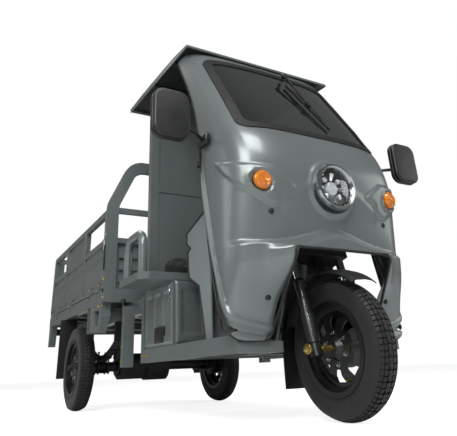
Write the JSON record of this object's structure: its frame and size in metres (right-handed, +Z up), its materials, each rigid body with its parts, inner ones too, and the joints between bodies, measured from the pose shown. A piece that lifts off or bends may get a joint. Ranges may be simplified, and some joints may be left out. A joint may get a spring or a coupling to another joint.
{
  "type": "electric cargo tricycle",
  "caption": "Three-wheeled electric cargo vehicle with an open-sided cab, curved windscreen, bench seat and a dropside load bed.",
  "frame": {"origin": "on the ground, below the middle of the bounding box", "axes": "+Z up, +Y to the rear of the vehicle, +X to the rider's left"},
  "size_m": [1.47, 3.1499, 1.8059],
  "materials": {
    "paint": "satin metallic grey",
    "black_steel": "semi-gloss black enamel",
    "chassis_black": "matt black",
    "tyre": "matt",
    "rubber": "matt",
    "glass": "tinted",
    "chrome": "polished",
    "axle_steel": "plated",
    "plastic": "fine moulded grain",
    "amber": "clear amber",
    "red_lens": "clear red",
    "seat": "grained black",
    "inner_plastic": "satin grey",
    "battery": "plain"
  },
  "bodies": {
    "chassis": {"chassis_frame": "paint", "rear_axle": "chassis_black", "leaf_springs": "chassis_black", "shock_absorbers": "chassis_black", "front_fairing": "paint", "windshield": "glass", "windshield_seal": "rubber", "headlamp": "chrome", "turn_signals": "amber", "mirrors": "plastic", "wiper": "plastic", "inner_panel": "inner_plastic", "floor_pan": "paint", "splash_panel": "plastic", "cab_rear_wall": "paint", "roof": "paint", "seat_box": "paint", "battery_pack": "battery", "seat_platform": "paint", "seat_guards": "paint", "seat_cushion": "seat", "brake_pedal": "black_steel", "cargo_bed": "paint", "bed_gussets": "paint", "rear_mudflaps": "rubber", "tail_lamps": "red_lens", "head_guard": "paint", "cargo_front_board": "paint"},
    "steering": {"steering_stem": "black_steel", "fork_tubes": "chrome", "fork_sliders": "black_steel", "front_axle": "axle_steel", "front_fender": "black_steel", "handlebar": "black_steel", "grips": "rubber"},
    "front_wheel": {"front_wheel_tyre": "tyre", "front_wheel_rim": "black_steel"},
    "rear_wheel_left": {"rear_wheel_left_tyre": "tyre", "rear_wheel_left_rim": "black_steel"},
    "rear_wheel_right": {"rear_wheel_right_tyre": "tyre", "rear_wheel_right_rim": "black_steel"},
    "left_board": {"left_side_board": "paint"},
    "right_board": {"right_side_board": "paint"},
    "rear_board": {"tailgate": "paint"}
  },
  "joints": [
    {"name": "steering_head", "type": "hinge", "parent": "chassis", "child": "steering", "pos_m": [0, -1.28378, 0.25], "axis": [0, 0.2419, 0.9703], "range_deg": [-35, 35]},
    {"name": "front_wheel_spin", "type": "hinge", "parent": "steering", "child": "front_wheel", "pos_m": [0, -1.325, 0.25], "axis": [1, 0, 0], "continuous": true},
    {"name": "rear_wheel_left_spin", "type": "hinge", "parent": "chassis", "child": "rear_wheel_left", "pos_m": [0.508, 0.628, 0.25], "axis": [1, 0, 0], "continuous": true},
    {"name": "rear_wheel_right_spin", "type": "hinge", "parent": "chassis", "child": "rear_wheel_right", "pos_m": [-0.508, 0.628, 0.25], "axis": [1, 0, 0], "continuous": true},
    {"name": "left_board_hinge", "type": "hinge", "parent": "chassis", "child": "left_board", "pos_m": [0.556, 0.775, 0.654], "axis": [0, 1, 0], "range_deg": [0, 165]},
    {"name": "right_board_hinge", "type": "hinge", "parent": "chassis", "child": "right_board", "pos_m": [-0.556, 0.775, 0.654], "axis": [0, -1, 0], "range_deg": [0, 165]},
    {"name": "tailgate_hinge", "type": "hinge", "parent": "chassis", "child": "rear_board", "pos_m": [0, 1.544, 0.654], "axis": [-1, 0, 0], "range_deg": [0, 120]}
  ]
}
